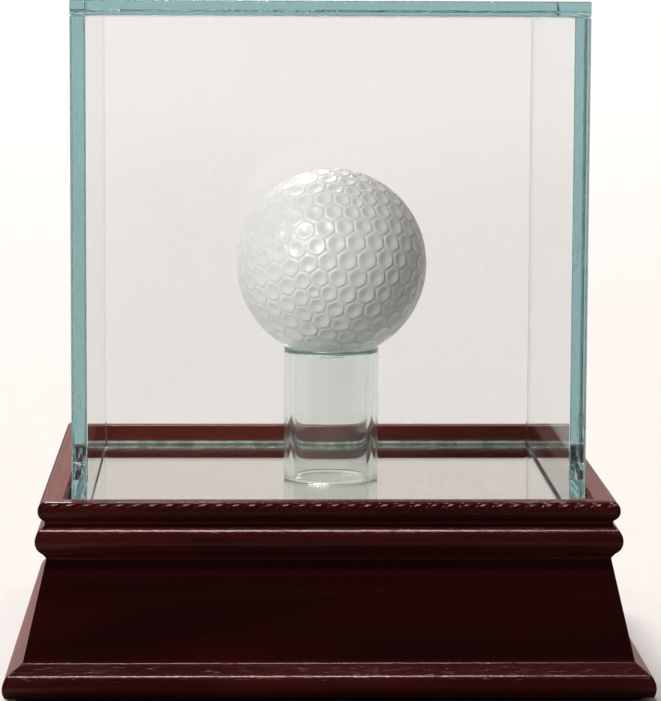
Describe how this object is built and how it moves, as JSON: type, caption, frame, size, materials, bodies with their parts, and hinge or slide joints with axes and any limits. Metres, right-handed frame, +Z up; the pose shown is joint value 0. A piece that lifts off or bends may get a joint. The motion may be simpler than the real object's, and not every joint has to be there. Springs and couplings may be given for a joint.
{
  "type": "golf ball display case",
  "caption": "Square glass display case: a lift-off bonded glass cover stands in the rail of a moulded dark wood base over a mirror floor, with a golf ball on a glass riser.",
  "frame": {"origin": "middle of the underside, on the surface that the case stands on", "axes": "+Z up through the middle of the base; -Y is the front, +X is the right as seen from the front"},
  "size_m": [0.1362, 0.1362, 0.1451],
  "materials": {
    "stained_hardwood": "dark cherry stain under gloss lacquer",
    "block_pine": "sawn, unfinished",
    "hardboard": "smooth hardboard",
    "felt": "black felt",
    "tape": "double-sided tape",
    "zinc_steel": "zinc plated",
    "silvering": "silvered, painted back",
    "mirror_glass": "clear float glass",
    "cover_glass": "clear float glass, ground edges",
    "riser_glass": "pale green glass, polished",
    "clear_adhesive": "clear cured adhesive",
    "ball_cover": "white, clear-coated",
    "ball_rubber": "moulded rubber"
  },
  "bodies": {
    "base": {"bottom_panel": "hardboard", "bottom_screws": "zinc_steel", "corner_block_back_left": "block_pine", "corner_block_back_right": "block_pine", "corner_block_front_left": "block_pine", "corner_block_front_right": "block_pine", "corner_v_nails": "zinc_steel", "felt_pad": "felt", "floor_board": "hardboard", "floor_pins": "zinc_steel", "mirror_plate": "mirror_glass", "mirror_silvering": "silvering", "mirror_tapes": "tape", "moulding_back": "stained_hardwood", "moulding_front": "stained_hardwood", "moulding_left": "stained_hardwood", "moulding_right": "stained_hardwood", "riser_bond": "clear_adhesive", "riser_tube": "riser_glass"},
    "cover": {"glass_back": "cover_glass", "glass_front": "cover_glass", "glass_left": "cover_glass", "glass_right": "cover_glass", "glass_top": "cover_glass", "corner_bonds": "clear_adhesive", "top_bond": "clear_adhesive"},
    "ball": {"ball_shell": "ball_cover", "ball_core": "ball_rubber"}
  },
  "joints": [
    {"name": "cover_lift", "type": "slide", "parent": "base", "child": "cover", "axis": [0, 0, 1], "range_m": [0, 0.115]},
    {"name": "ball_lift", "type": "slide", "parent": "base", "child": "ball", "axis": [0, 0, 1], "range_m": [0, 0.03]}
  ]
}
